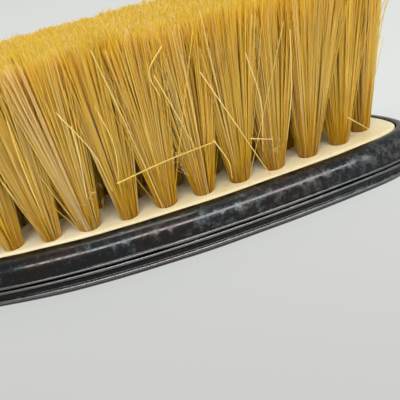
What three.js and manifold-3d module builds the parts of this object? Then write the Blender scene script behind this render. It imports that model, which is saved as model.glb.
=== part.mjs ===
// A silver-mounted vanity hairbrush lying on its back with the bristles up: an almond-shaped head,
// whose wire-drawn tufts of boar bristle stand in an ivory-coloured plate, and a filled silver handle.
// Units are millimetres. The head is laid out about its own centre, with its toe at +X, the handle
// towards -X and z = 0 at the top of the face plate. The exported group puts the whole brush in its
// own frame: the middle of its length at the origin, and the flat of the back at z = 0.
import * as THREE from 'three';
import { mergeVertices } from 'three/addons/utils/BufferGeometryUtils.js';
import Module from 'manifold-3d';

const wasm = await Module();
wasm.setup();

// Driving dimensions of the outline.
const OVERALL_LENGTH = 240;
const PLATE_HALF_LENGTH = 67.1;
const PLATE_HALF_WIDTH = 34.5;
const PLATE_TAPER = 0.603; // how strongly the sides draw in towards the two points
const RIM_REACH = 3.1; // how far the silver stands out beyond the plate's edge
const NECK_HALF_WIDTH = 6.5;
const NECK_X = -86;
const NECK_TURN = 2.46; // the turn from the toe, in radians, where the head runs into the neck
const NECK_EASE = 0.42; // how long the neck's curve keeps the directions of its two ends
const GRIP_HALF_WIDTH = 10.6;
const GRIP_END_ROUND = 14;

// Heights through the head.
const BACK_DEPTH = 10; // from the plate's top down to the resting flat
const SHEET = 0.6; // thickness of the silver
const GAP = 0.3; // space kept between neighbouring pieces
const PLATE_THICKNESS = 1.2;
const STOCK_THICKNESS = 4.2;
const SEAM_DEPTH = 3.3; // where the front frame meets the back shell
const GRIP_CROWN = 1.2; // how far the top of the grip rises above the plate
const CROWN_START_X = -60;
const CROWN_FULL_X = -90;
const CEMENT_THICKNESS = 1.1; // at the edge of the head's cement

// Sections of the silver, each point a distance outside the guide line and a depth below the plate.
const BAND_SECTION = [[RIM_REACH, SEAM_DEPTH], [2.9, 1.9], [2.1, 0.7], [0.9, 0.1]];
const BAND_UNDERSIDE = [[1.5, 1.3], [RIM_REACH - SHEET, SEAM_DEPTH]];
const REED_SECTION = [[-1, 7.9], [1.3, 6.5], [2.2, 5.9], [1.9, 4.9], [RIM_REACH, SEAM_DEPTH + GAP]];
const REED_INSIDE = [[RIM_REACH - SHEET, SEAM_DEPTH + GAP], [0.8, 5.9], [-1.2, 7.2]];
const FILLER_SECTION = [[-1.5, 6.8], [0.5, 5.2], [1.1, 2.1]];

// Levels drawn in towards the centre line are a part of the way there, from 0 to 1.
const BACK_TURN = 0.2; // where the back's rounded corner ends
const TURN_DEPTH = 9; // depth there
const BACK_FLAT = 0.6; // where its resting flat begins
const TOP_EDGE = 0.08; // the front's shoulder, at EDGE_RISE of the crown
const EDGE_RISE = 0.3;
const TOP_MIDDLE = 0.5; // where the crown is full
const TOE_MARGIN = 14; // the centre line stops this far short of the toe
const END_MARGIN = 10; // and of the grip's end

// Bristles.
const BRISTLE_LENGTH = 23;
const MERGE_HEIGHT = 12; // where neighbouring tufts grow together
const ROOT_LIFT = 0.1; // the tufts' folded ends stay this far above the stock's back
const TUFT_WIDTH = 2.2;
const HOLE_WIDTH = 2.8;
const END_SPLAY = 0.114; // outward lean of the tufts at the toe, per unit of height
const SIDE_SPLAY = 0.066; // the same at the sides
const OUTER_FLARE = 1.9; // how far the outermost ring spreads beyond its own line of holes
const SPLAY_POWER = 1.5; // how late along the head the lean towards the toe sets in
const SHARE = 0.42; // the part of the space to the next ring that a ring's bristles fill
const WIRE_THICKNESS = 0.6;

// The rings of tufts, from the rim inwards, and the straight row in the middle.
const RINGS = [
  { halfLength: 62.1, halfWidth: 32.7, taper: 0.603, tufts: 54 },
  { halfLength: 55.4, halfWidth: 26.4, taper: 0.7, tufts: 42 },
  { halfLength: 47.8, halfWidth: 21.0, taper: 0.66, tufts: 38 },
  { halfLength: 40.6, halfWidth: 15.8, taper: 0.6, tufts: 32 },
  { halfLength: 33.2, halfWidth: 10.6, taper: 0.45, tufts: 26 },
  { halfLength: 25.4, halfWidth: 5.5, taper: 0.3, tufts: 18 },
];
const MIDDLE_ROW = { halfLength: 14.4, tufts: 6 };
const MIDDLE_OVERRUN = 0.65; // how far its bristles reach past its last tufts, in pitches

const OUTLINE_STEPS = { head: 20, neck: 4, flank: 4, end: 5 };
const PLATE_STEPS = 72;

const HANDLE_EDGE_X = PLATE_HALF_LENGTH + 2 * RIM_REACH - OVERALL_LENGTH;
const HEAD_CENTRE_X = OVERALL_LENGTH / 2 - PLATE_HALF_LENGTH - RIM_REACH;
const STOCK_TOP = -PLATE_THICKNESS - GAP;
const STOCK_BOTTOM = STOCK_TOP - STOCK_THICKNESS;
const WIRE_LEVEL = STOCK_BOTTOM - GAP - WIRE_THICKNESS / 2;

const silver = new THREE.MeshStandardMaterial({ color: 0x4c4d50, metalness: 1, roughness: 0.35 });
const ivory = new THREE.MeshStandardMaterial({ color: 0xe8deb4, roughness: 0.3 });
const beech = new THREE.MeshStandardMaterial({ color: 0xb08a5a, roughness: 0.7 });
const pitch = new THREE.MeshStandardMaterial({ color: 0x3a2f26, roughness: 0.9 });
const brass = new THREE.MeshStandardMaterial({ color: 0xb58a3c, metalness: 1, roughness: 0.4 });
const boar = new THREE.MeshStandardMaterial({ color: 0xc8a050, roughness: 0.6 });

// ---- Outlines -------------------------------------------------------------------------------

// A pointed oval about the origin. t runs from 0 to 1, anticlockwise from the toe.
class Almond extends THREE.Curve {
  constructor(halfLength, halfWidth, taper) {
    super();
    this.halfLength = halfLength;
    this.halfWidth = halfWidth;
    this.taper = taper;
    this.arcLengthDivisions = 1000;
  }

  getPoint(t, target = new THREE.Vector3()) {
    const along = Math.cos(2 * Math.PI * t);
    const across = Math.sin(2 * Math.PI * t) * (1 - this.taper * along * along);
    return target.set(this.halfLength * along, this.halfWidth * across, 0);
  }
}

const plateEdge = new Almond(PLATE_HALF_LENGTH, PLATE_HALF_WIDTH, PLATE_TAPER);

// The half of the silver's guide line with y >= 0: round the head, through the neck, along the grip
// and round its end. Every silver surface lies at an offset from this line.
function guideHalf() {
  const leave = NECK_TURN / (2 * Math.PI);
  const head = [];
  for (let i = 0; i <= OUTLINE_STEPS.head; i++) {
    head.push(plateEdge.getPoint((leave * i) / OUTLINE_STEPS.head));
  }
  const start = head[OUTLINE_STEPS.head];
  const heading = plateEdge.getTangent(leave);
  const reach = NECK_EASE * (start.x - NECK_X);
  const neckPoint = new THREE.Vector3(NECK_X, NECK_HALF_WIDTH, 0);
  const neck = new THREE.CubicBezierCurve3(
    start,
    start.clone().addScaledVector(heading, reach),
    neckPoint.clone().add(new THREE.Vector3(reach, 0, 0)),
    neckPoint,
  );
  const roundX = HANDLE_EDGE_X + GRIP_END_ROUND;
  const gripPoint = new THREE.Vector3(roundX, GRIP_HALF_WIDTH, 0);
  const half = (NECK_X - roundX) / 2;
  const flank = new THREE.CubicBezierCurve3(
    neckPoint,
    neckPoint.clone().add(new THREE.Vector3(-half, 0, 0)),
    gripPoint.clone().add(new THREE.Vector3(half, 0, 0)),
    gripPoint,
  );
  const points = [...head];
  points.push(...neck.getPoints(OUTLINE_STEPS.neck).slice(1));
  points.push(...flank.getPoints(OUTLINE_STEPS.flank).slice(1));
  for (let i = 1; i <= OUTLINE_STEPS.end; i++) {
    const turn = (Math.PI / 2) * (i / OUTLINE_STEPS.end);
    const x = roundX - GRIP_END_ROUND * Math.sin(turn);
    points.push(new THREE.Vector3(x, GRIP_HALF_WIDTH * Math.cos(turn), 0));
  }
  points[points.length - 1].y = 0;
  return points;
}

// A half outline and its mirror image as one anticlockwise loop.
function closeLoop(half) {
  const mirrored = half.slice(1, -1).reverse();
  return [...half, ...mirrored.map((p) => new THREE.Vector3(p.x, -p.y, 0))];
}

const guideLoop = closeLoop(guideHalf());
const plateLoop = plateEdge.getPoints(PLATE_STEPS).slice(0, -1);

// The loop moved outwards by a distance, square to itself.
function offsetLoop(loop, distance) {
  return loop.map((p, i) => {
    const before = loop[(i + loop.length - 1) % loop.length];
    const after = loop[(i + 1) % loop.length];
    const along = after.clone().sub(before).normalize();
    return new THREE.Vector3(p.x + along.y * distance, p.y - along.x * distance, 0);
  });
}

// The loop drawn in towards the centre line: 0 leaves it alone, and 1 lays it on the line.
function drawnIn(loop, part, toeMargin, endMargin) {
  const toe = Math.max(...loop.map((p) => p.x)) - toeMargin;
  const end = Math.min(...loop.map((p) => p.x)) + endMargin;
  return loop.map((p) => {
    const onLine = new THREE.Vector3(THREE.MathUtils.clamp(p.x, end, toe), 0, 0);
    return p.clone().lerp(onLine, part);
  });
}

// ---- Solids ---------------------------------------------------------------------------------

// A level is a loop lifted to a height, which is a number or a function of the point.
function level(loop, height = 0) {
  return loop.map((p) => {
    const z = typeof height === 'function' ? height(p) : height;
    return new THREE.Vector3(p.x, p.y, z);
  });
}

class Faces {
  constructor() {
    this.values = [];
  }

  triangle(a, b, c) {
    const area = b.clone().sub(a).cross(c.clone().sub(a)).length();
    if (area > 1e-9) {
      this.values.push(a.x, a.y, a.z, b.x, b.y, b.z, c.x, c.y, c.z);
    }
  }

  quad(a, b, c, d) {
    this.triangle(a, b, c);
    this.triangle(a, c, d);
  }

  // Side walls between two anticlockwise loops, the lower one first.
  wall(lower, upper) {
    lower.forEach((p, i) => {
      const j = (i + 1) % lower.length;
      this.quad(p, lower[j], upper[j], upper[i]);
    });
  }

  geometry() {
    const made = new THREE.BufferGeometry();
    made.setAttribute('position', new THREE.Float32BufferAttribute(this.values, 3));
    return mergeVertices(made, 1e-4);
  }
}

// A solid whose surface passes through the levels in turn. The first and the last level lie on the
// centre line, or the last joins the first where the solid is a closed tube.
function throughLevels(levels, isTube = false) {
  const faces = new Faces();
  for (let i = 0; i + 1 < levels.length; i++) {
    faces.wall(levels[i], levels[i + 1]);
  }
  if (isTube) {
    faces.wall(levels[levels.length - 1], levels[0]);
  }
  return faces.geometry();
}

function toManifold(geometry) {
  const bare = geometry.clone();
  bare.deleteAttribute('normal');
  bare.deleteAttribute('uv');
  const merged = mergeVertices(bare, 1e-4);
  const vertProperties = merged.attributes.position.array;
  const triVerts = new Uint32Array(merged.index.array);
  return new wasm.Manifold(new wasm.Mesh({ numProp: 3, vertProperties, triVerts }));
}

function fromManifold(solid) {
  const mesh = solid.getMesh();
  const made = new THREE.BufferGeometry();
  made.setAttribute('position', new THREE.BufferAttribute(mesh.vertProperties, 3));
  made.setIndex(new THREE.BufferAttribute(mesh.triVerts, 1));
  return made;
}

// The levels of a section that runs all the way round the guide line.
function roundGuide(section) {
  return section.map(([reach, depth]) => level(offsetLoop(guideLoop, reach), -depth));
}

function slab(loop, bottom, thickness) {
  const shape = new THREE.Shape(loop.map((p) => new THREE.Vector2(p.x, p.y)));
  const made = new THREE.ExtrudeGeometry(shape, { depth: thickness, bevelEnabled: false });
  return made.translate(0, 0, bottom);
}

// ---- Silver ---------------------------------------------------------------------------------

// How far the front surface rises above the plate's level on the centre line.
function crown(p) {
  return GRIP_CROWN * (1 - THREE.MathUtils.smoothstep(p.x, CROWN_FULL_X, CROWN_START_X));
}

function inward(part) {
  return drawnIn(guideLoop, part, TOE_MARGIN, END_MARGIN);
}

// The front's levels inside the guide line, a distance below its outer surface.
function topLevels(below) {
  return [
    level(inward(TOP_EDGE), (p) => EDGE_RISE * crown(p) - below),
    level(inward(TOP_MIDDLE), (p) => crown(p) - below),
    level(inward(1), (p) => crown(p) - below),
  ];
}

// Half round band beside the plate, and the crowned top of the grip, opened for the plate.
function frontFrame() {
  const outside = [...roundGuide(BAND_SECTION), ...topLevels(0)];
  const inside = [...topLevels(SHEET).reverse(), ...roundGuide(BAND_UNDERSIDE)];
  const whole = toManifold(throughLevels([...inside, ...outside]));
  const openingLoop = offsetLoop(plateLoop, GAP);
  const opening = toManifold(slab(openingLoop, -SEAM_DEPTH, 2 * SEAM_DEPTH));
  return fromManifold(whole.subtract(opening));
}

// The back's levels inside the guide line, a distance above its outer surface.
function backLevels(above) {
  return [
    level(inward(1), above - BACK_DEPTH),
    level(inward(BACK_FLAT), above - BACK_DEPTH),
    level(inward(BACK_TURN), above - TURN_DEPTH),
  ];
}

// The reeded edge and the shallow bowl of the back, down to its resting flat.
function backShell() {
  const outside = [...backLevels(0), ...roundGuide(REED_SECTION)];
  const inside = [...roundGuide(REED_INSIDE), ...backLevels(SHEET).reverse()];
  return throughLevels([...outside, ...inside]);
}

// ---- Inside ---------------------------------------------------------------------------------

// The lens of cement between the back shell and the drawing wires.
function headCement() {
  const fill = (part) => drawnIn(plateLoop, part, TOE_MARGIN, TOE_MARGIN);
  const edge = (BACK_TURN + BACK_FLAT) / 3;
  const floor = SHEET + GAP - BACK_DEPTH;
  const top = WIRE_LEVEL - WIRE_THICKNESS / 2 - GAP;
  return throughLevels([
    level(fill(1), floor),
    level(fill(BACK_FLAT), floor),
    level(fill(edge), top - CEMENT_THICKNESS),
    level(fill(edge), top),
    level(fill(1), top),
  ]);
}

// The cement that fills the grip and stops short of the stock.
function handleFiller() {
  const whole = toManifold(throughLevels([
    ...backLevels(SHEET + GAP),
    ...roundGuide(FILLER_SECTION),
    ...topLevels(SHEET + GAP),
  ]));
  const headSide = -PLATE_HALF_LENGTH - RIM_REACH;
  const block = new THREE.BoxGeometry(OVERALL_LENGTH, OVERALL_LENGTH, OVERALL_LENGTH);
  block.translate(headSide - OVERALL_LENGTH / 2, 0, 0);
  return fromManifold(whole.intersect(toManifold(block)));
}

// ---- Tufts ----------------------------------------------------------------------------------

// Where a point of the face lies at a height above it: the bristles lean outwards as they rise.
function leaned(p, height) {
  const rise = Math.max(height, 0);
  const share = Math.abs(p.x / PLATE_HALF_LENGTH) ** SPLAY_POWER;
  const x = p.x + rise * END_SPLAY * Math.sign(p.x) * share;
  const y = p.y + rise * SIDE_SPLAY * (p.y / PLATE_HALF_WIDTH);
  return new THREE.Vector3(x, y, height);
}

// A square about a tuft's centre, anticlockwise: inner start, outer start, outer end, inner end.
function squareAbout(seat, width) {
  const corners = [[-1, -1], [-1, 1], [1, 1], [1, -1]];
  return corners.map(([along, out]) => {
    const p = seat.centre.clone();
    p.addScaledVector(seat.along, (along * width) / 2);
    return p.addScaledVector(seat.out, (out * width) / 2);
  });
}

// One body for a line of tufts: separate square tufts below, grown together above. Each seat has its
// centre, its directions, and the four corners of the field that its bristles fill.
function bristleBody(seats, isClosed) {
  const faces = new Faces();
  seats.forEach((seat, i) => {
    const foot = squareAbout(seat, TUFT_WIDTH);
    const root = level(foot, STOCK_BOTTOM + ROOT_LIFT);
    const base = level(foot);
    const merge = seat.field.map((p) => leaned(p, MERGE_HEIGHT));
    const top = seat.field.map((p) => leaned(p, BRISTLE_LENGTH));
    faces.quad(root[3], root[2], root[1], root[0]);
    faces.wall(root, base);
    faces.wall(base, merge);
    faces.quad(merge[1], merge[2], top[2], top[1]);
    faces.quad(merge[3], merge[0], top[0], top[3]);
    faces.quad(top[0], top[1], top[2], top[3]);
    if (!isClosed && i === 0) {
      faces.quad(merge[0], merge[1], top[1], top[0]);
    }
    if (!isClosed && i === seats.length - 1) {
      faces.quad(merge[2], merge[3], top[3], top[2]);
    }
  });
  return faces.geometry();
}

function almondBetween(a, b, part) {
  const mix = THREE.MathUtils.lerp;
  return new Almond(
    mix(a.halfLength, b.halfLength, part),
    mix(a.halfWidth, b.halfWidth, part),
    mix(a.taper, b.taper, part),
  );
}

// The seats of ring k, starting at the toe.
function ringSeats(k) {
  const ring = RINGS[k];
  const line = new Almond(ring.halfLength, ring.halfWidth, ring.taper);
  const flared = new Almond(ring.halfLength + OUTER_FLARE, ring.halfWidth + OUTER_FLARE, ring.taper);
  const middle = new Almond(MIDDLE_ROW.halfLength, 0, 0);
  const outer = k === 0 ? flared : almondBetween(ring, RINGS[k - 1], SHARE);
  const inner = almondBetween(ring, RINGS[k + 1] ?? middle, SHARE);
  const seats = [];
  for (let i = 0; i < ring.tufts; i++) {
    const t = line.getUtoTmapping(i / ring.tufts);
    const from = line.getUtoTmapping((i - 0.5 + ring.tufts) % ring.tufts / ring.tufts);
    const to = line.getUtoTmapping((i + 0.5) / ring.tufts);
    const along = line.getTangent(t).normalize();
    const out = new THREE.Vector3(along.y, -along.x, 0);
    const field = [inner.getPoint(from), outer.getPoint(from), outer.getPoint(to), inner.getPoint(to)];
    seats.push({ centre: line.getPoint(t), along, out, field });
  }
  return seats;
}

// The seats of the straight row on the centre line, starting at its toe end.
function middleSeats() {
  const pitchX = (2 * MIDDLE_ROW.halfLength) / (MIDDLE_ROW.tufts - 1);
  const halfField = RINGS[RINGS.length - 1].halfWidth * SHARE;
  const reach = MIDDLE_ROW.halfLength + MIDDLE_OVERRUN * pitchX;
  const along = new THREE.Vector3(-1, 0, 0);
  const out = new THREE.Vector3(0, 1, 0);
  const seats = [];
  for (let i = 0; i < MIDDLE_ROW.tufts; i++) {
    const centre = new THREE.Vector3(MIDDLE_ROW.halfLength - i * pitchX, 0, 0);
    const corner = (side, end) => {
      const x = centre.x - (end * pitchX) / 2;
      return new THREE.Vector3(x, side * halfField * Math.sqrt(1 - (x / reach) ** 2), 0);
    };
    seats.push({ centre, along, out, field: [corner(-1, -1), corner(1, -1), corner(1, 1), corner(-1, 1)] });
  }
  return seats;
}

// The drawing wire runs under the stock from tuft to tuft.
function ringWire(seats) {
  const line = seats.map((seat) => seat.centre);
  const half = WIRE_THICKNESS / 2;
  return throughLevels(
    [
      level(line, WIRE_LEVEL - half),
      level(offsetLoop(line, half), WIRE_LEVEL),
      level(line, WIRE_LEVEL + half),
      level(offsetLoop(line, -half), WIRE_LEVEL),
    ],
    true,
  );
}

function middleWire() {
  const made = new THREE.BoxGeometry(2 * MIDDLE_ROW.halfLength, WIRE_THICKNESS, WIRE_THICKNESS);
  return made.translate(0, 0, WIRE_LEVEL);
}

// ---- Assembly -------------------------------------------------------------------------------

const brush = new THREE.Group();
brush.position.set(HEAD_CENTRE_X, 0, BACK_DEPTH);

function add(name, geometry, material) {
  const mesh = new THREE.Mesh(geometry, material.clone());
  mesh.name = name;
  brush.add(mesh);
}

const ringLines = RINGS.map((ring, k) => ringSeats(k));
const middleLine = middleSeats();
const allSeats = [...ringLines.flat(), ...middleLine];

// A slab in the shape of the plate, bored for every tuft.
function boredSlab(bottom, thickness) {
  const bores = allSeats.map((seat) => {
    const loop = squareAbout(seat, HOLE_WIDTH);
    return toManifold(slab(loop, bottom - GAP, thickness + 2 * GAP));
  });
  const whole = toManifold(slab(plateLoop, bottom, thickness));
  return fromManifold(whole.subtract(wasm.Manifold.union(bores)));
}

add('back_shell', backShell(), silver);
add('front_frame', frontFrame(), silver);
add('face_plate', boredSlab(-PLATE_THICKNESS, PLATE_THICKNESS), ivory);
add('brush_stock', boredSlab(STOCK_BOTTOM, STOCK_THICKNESS), beech);
add('head_cement', headCement(), pitch);
add('handle_filler', handleFiller(), pitch);
ringLines.forEach((seats, k) => {
  add(`bristle_ring_${k + 1}`, bristleBody(seats, true), boar);
  add(`drawing_wire_${k + 1}`, ringWire(seats), brass);
});
add('bristle_middle_row', bristleBody(middleLine, false), boar);
add('drawing_wire_middle', middleWire(), brass);

export default brush;
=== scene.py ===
"""Looks of the vanity hairbrush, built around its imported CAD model.

Sizes below are in millimetres in the head's own frame: its centre at the origin, the toe at +X and the
top of the face plate at z = 0. place() turns them into metres in the model's frame.
"""

import math

import bmesh
import bpy
import numpy as np
from mathutils import Matrix, Vector, noise


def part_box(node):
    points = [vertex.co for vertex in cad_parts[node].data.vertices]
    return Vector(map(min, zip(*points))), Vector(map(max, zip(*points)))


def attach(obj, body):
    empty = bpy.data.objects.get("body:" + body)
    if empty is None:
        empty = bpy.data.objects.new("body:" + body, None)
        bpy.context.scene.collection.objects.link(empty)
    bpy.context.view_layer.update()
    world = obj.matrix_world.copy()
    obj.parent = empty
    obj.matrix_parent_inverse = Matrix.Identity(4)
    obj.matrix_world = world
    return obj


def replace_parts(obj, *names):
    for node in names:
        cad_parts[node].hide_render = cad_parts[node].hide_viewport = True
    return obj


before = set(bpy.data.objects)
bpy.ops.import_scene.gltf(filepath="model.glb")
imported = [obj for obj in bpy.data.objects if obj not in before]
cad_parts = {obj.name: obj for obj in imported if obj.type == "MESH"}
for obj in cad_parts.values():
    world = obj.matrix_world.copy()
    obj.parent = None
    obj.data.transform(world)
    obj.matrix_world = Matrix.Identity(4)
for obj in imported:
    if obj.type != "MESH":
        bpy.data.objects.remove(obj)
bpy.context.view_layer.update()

MM = 0.001
BODY = "root"

# ---- Sizes taken from the frame ----------------------------------------------------------------

plate_low, plate_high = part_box("face_plate")
shell_low, shell_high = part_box("back_shell")
_, bristle_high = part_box("bristle_ring_1")
PLATE_HALF_LENGTH = (plate_high.x - plate_low.x) / 2 / MM
PLATE_HALF_WIDTH = (plate_high.y - plate_low.y) / 2 / MM
PLATE_THICKNESS = (plate_high.z - plate_low.z) / MM
HEAD_CENTRE = Vector(((plate_high.x + plate_low.x) / 2, 0.0, plate_high.z))
OVERALL_LENGTH = (shell_high.x - shell_low.x) / MM
BACK_DEPTH = plate_high.z / MM
BRISTLE_LENGTH = (bristle_high.z - plate_high.z) / MM

# ---- Sizes repeated from the CAD source --------------------------------------------------------

# The plate's taper and the two splays come from the same fit to the photo as the camera.
PLATE_TAPER = 0.603
RIM_REACH = 3.1
NECK_HALF_WIDTH = 6.5
NECK_X = -86
NECK_TURN = 2.46
NECK_EASE = 0.42
GRIP_HALF_WIDTH = 10.6
GRIP_END_ROUND = 14
GRIP_CROWN = 1.2
END_MARGIN = 10
TOE_MARGIN = 14
END_SPLAY = 0.114
SIDE_SPLAY = 0.066
SPLAY_POWER = 1.5
OUTER_FLARE = 1.9
WIRE_THICKNESS = 0.6
RINGS = [
    {"taper": 0.603, "tufts": 54, "strands": 360},
    {"taper": 0.7, "tufts": 42, "strands": 300},
    {"taper": 0.66, "tufts": 38, "strands": 230},
    {"taper": 0.6, "tufts": 32, "strands": 220},
    {"taper": 0.45, "tufts": 26, "strands": 220},
    {"taper": 0.3, "tufts": 18, "strands": 220},
]
MIDDLE_ROW = {"half_length": 14.4, "tufts": 6, "strands": 220}
HANDLE_EDGE_X = PLATE_HALF_LENGTH + 2 * RIM_REACH - OVERALL_LENGTH


def place(points):
    """Points in the head's frame, in millimetres, as metres in the model's frame."""
    return np.asarray(points, float) * MM + np.array(HEAD_CENTRE)


def smoothstep(value, low, high):
    t = np.clip((value - low) / (high - low), 0, 1)
    return t * t * (3 - 2 * t)


# ---- Outlines ----------------------------------------------------------------------------------


def almond(half_length, half_width, taper, turn):
    """Points of a pointed oval at turns from the toe, in radians, anticlockwise."""
    along = np.cos(turn)
    across = np.sin(turn) * (1 - taper * along * along)
    return np.stack([half_length * along, half_width * across], axis=-1)


def plate_edge(turn):
    return almond(PLATE_HALF_LENGTH, PLATE_HALF_WIDTH, PLATE_TAPER, turn)


def cubic(a, b, c, d, steps):
    """Points of a cubic curve after its first."""
    t = (np.arange(steps) + 1)[:, None] / steps
    return a * (1 - t) ** 3 + 3 * b * t * (1 - t) ** 2 + 3 * c * t * t * (1 - t) + d * t**3


HEAD_STEPS = 150
NECK_STEPS = 40
FLANK_STEPS = 40
END_STEPS = 28


def guide_half():
    """The silver's guide line with y >= 0, from the toe to the end of the grip."""
    head = plate_edge(np.linspace(0, NECK_TURN, HEAD_STEPS + 1))
    start = head[-1]
    small = 1e-4
    heading = plate_edge(NECK_TURN + small) - plate_edge(NECK_TURN - small)
    heading /= np.linalg.norm(heading)
    reach = NECK_EASE * (start[0] - NECK_X)
    neck_point = np.array([NECK_X, NECK_HALF_WIDTH])
    neck = cubic(start, start + heading * reach, neck_point + [reach, 0], neck_point, NECK_STEPS)
    round_x = HANDLE_EDGE_X + GRIP_END_ROUND
    grip_point = np.array([round_x, GRIP_HALF_WIDTH])
    half = (NECK_X - round_x) / 2
    flank = cubic(neck_point, neck_point - [half, 0], grip_point + [half, 0], grip_point, FLANK_STEPS)
    turn = np.linspace(0, math.pi / 2, END_STEPS + 1)[1:]
    end = np.stack([round_x - GRIP_END_ROUND * np.sin(turn), GRIP_HALF_WIDTH * np.cos(turn)], axis=-1)
    end[-1, 1] = 0
    return np.concatenate([head, neck, flank, end])


def close_loop(half):
    mirrored = half[-2:0:-1] * [1, -1]
    return np.concatenate([half, mirrored])


def outward(loop):
    """Unit vectors square to an anticlockwise loop, pointing out of it."""
    along = np.roll(loop, -1, axis=0) - np.roll(loop, 1, axis=0)
    along /= np.linalg.norm(along, axis=1)[:, None]
    return np.stack([along[:, 1], -along[:, 0]], axis=-1)


GUIDE = close_loop(guide_half())
GUIDE_OUT = outward(GUIDE)


def offset_guide(reach):
    return GUIDE + GUIDE_OUT * reach


# ---- Meshes ------------------------------------------------------------------------------------

ON_LINE = 1e-9
WELD_DISTANCE = 2e-6
SILVER_SHARP = 50
PLATE_SHARP = 40
HAIR_SHARP = 70


def finish_mesh(mesh, sharp_angle):
    """Smooth shading with sharp edges where faces meet at more than sharp_angle degrees."""
    mesh.shade_smooth()
    mesh.set_sharp_from_angle(angle=math.radians(sharp_angle))


def set_values(mesh, name, values):
    """A number for each point of the mesh, which its material reads by name."""
    attribute = mesh.attributes.new(name, "FLOAT", "POINT")
    attribute.data.foreach_set("value", np.asarray(values, np.float32))


def quads_between(low, high, count):
    """Corners of the faces between two closed loops of count points each, as rows of four."""
    index = np.arange(count)
    after = (index + 1) % count
    corners = [low * count + index, low * count + after, high * count + after, high * count + index]
    return np.stack(corners, axis=1)


def make_object(name, mesh, material):
    made = bpy.data.objects.new(name, mesh)
    bpy.context.scene.collection.objects.link(made)
    mesh.materials.append(material)
    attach(made, BODY)
    return made


def weld(mesh, distance):
    """Joins points that coincide and drops the faces that this flattens."""
    work = bmesh.new()
    work.from_mesh(mesh)
    bmesh.ops.remove_doubles(work, verts=work.verts, dist=distance)
    bmesh.ops.dissolve_degenerate(work, edges=work.edges, dist=distance / 10)
    bmesh.ops.recalc_face_normals(work, faces=work.faces)
    work.to_mesh(mesh)
    work.free()


def mesh_through_levels(name, levels, wear, is_tube=False):
    """A mesh through levels of equal length, each an (n, 3) array, with a wear value for each level.
    Quads whose four corners lie on the centre line are left out."""
    count = len(levels[0])
    points = np.concatenate(levels)
    faces = []
    pairs = [(i, i + 1) for i in range(len(levels) - 1)]
    if is_tube:
        pairs.append((len(levels) - 1, 0))
    for low, high in pairs:
        quads = quads_between(low, high, count)
        on_line = np.abs(points[quads][:, :, 1]).max(axis=1) < ON_LINE
        faces.extend(quads[~on_line].tolist())
    mesh = bpy.data.meshes.new(name)
    mesh.from_pydata(place(points).tolist(), [], faces)
    set_values(mesh, "wear", np.repeat(wear, count))
    weld(mesh, WELD_DISTANCE)
    return mesh


def level(loop, height):
    height = np.broadcast_to(height, (len(loop),))
    return np.concatenate([loop, height[:, None]], axis=1)


# ---- Materials ---------------------------------------------------------------------------------


class Nodes:
    """A material's node tree with short calls for the nodes that this file uses."""

    def __init__(self, name):
        self.material = bpy.data.materials.new(name)
        self.material.use_nodes = True
        self.tree = self.material.node_tree
        self.shader = self.tree.nodes["Principled BSDF"]
        self.where = self.add("ShaderNodeTexCoord").outputs["Object"]

    def add(self, kind, **settings):
        node = self.tree.nodes.new(kind)
        for key, value in settings.items():
            setattr(node, key, value)
        return node

    def link(self, source, target):
        self.tree.links.new(source, target)

    def noise(self, size, detail=3.0, rough=0.5, stretch=(1, 1, 1), distort=0.0):
        """Noise whose blotches are about size millimetres across."""
        mapping = self.add("ShaderNodeMapping")
        mapping.inputs["Scale"].default_value = stretch
        self.link(self.where, mapping.inputs["Vector"])
        node = self.add("ShaderNodeTexNoise")
        self.link(mapping.outputs[0], node.inputs["Vector"])
        node.inputs["Scale"].default_value = 1 / (size * MM)
        node.inputs["Detail"].default_value = detail
        node.inputs["Roughness"].default_value = rough
        node.inputs["Distortion"].default_value = distort
        return node.outputs["Fac"]

    def ramp(self, source, stops):
        node = self.add("ShaderNodeValToRGB")
        elements = node.color_ramp.elements
        while len(elements) < len(stops):
            elements.new(0.5)
        for element, (position, colour) in zip(elements, stops):
            element.position = position
            element.color = (*colour, 1)
        self.link(source, node.inputs["Fac"])
        return node.outputs["Color"]

    def spread(self, source, low, high, to_low, to_high):
        node = self.add("ShaderNodeMapRange")
        self.link(source, node.inputs["Value"])
        node.inputs["From Min"].default_value = low
        node.inputs["From Max"].default_value = high
        node.inputs["To Min"].default_value = to_low
        node.inputs["To Max"].default_value = to_high
        return node.outputs["Result"]

    def maths(self, operation, first, second):
        node = self.add("ShaderNodeMath", operation=operation)
        for socket, value in zip(node.inputs, (first, second)):
            if isinstance(value, (int, float)):
                socket.default_value = value
            else:
                self.link(value, socket)
        return node.outputs[0]

    def mix(self, factor, first, second, blend="MIX"):
        node = self.add("ShaderNodeMix", data_type="RGBA", blend_type=blend)
        for key, value in ((0, factor), (6, first), (7, second)):
            if isinstance(value, (int, float)):
                node.inputs[key].default_value = value
            elif isinstance(value, tuple):
                node.inputs[key].default_value = (*value, 1)
            else:
                self.link(value, node.inputs[key])
        return node.outputs[2]

    def attribute(self, name):
        return self.add("ShaderNodeAttribute", attribute_name=name).outputs["Fac"]

    def bump(self, height, distance, strength=1.0):
        node = self.add("ShaderNodeBump")
        node.inputs["Distance"].default_value = distance * MM
        node.inputs["Strength"].default_value = strength
        self.link(height, node.inputs["Height"])
        self.link(node.outputs["Normal"], self.shader.inputs["Normal"])

    def set(self, **values):
        for key, value in values.items():
            self.shader.inputs[key.replace("_", " ")].default_value = value

    def drive(self, key, source):
        self.link(source, self.shader.inputs[key])


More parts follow.
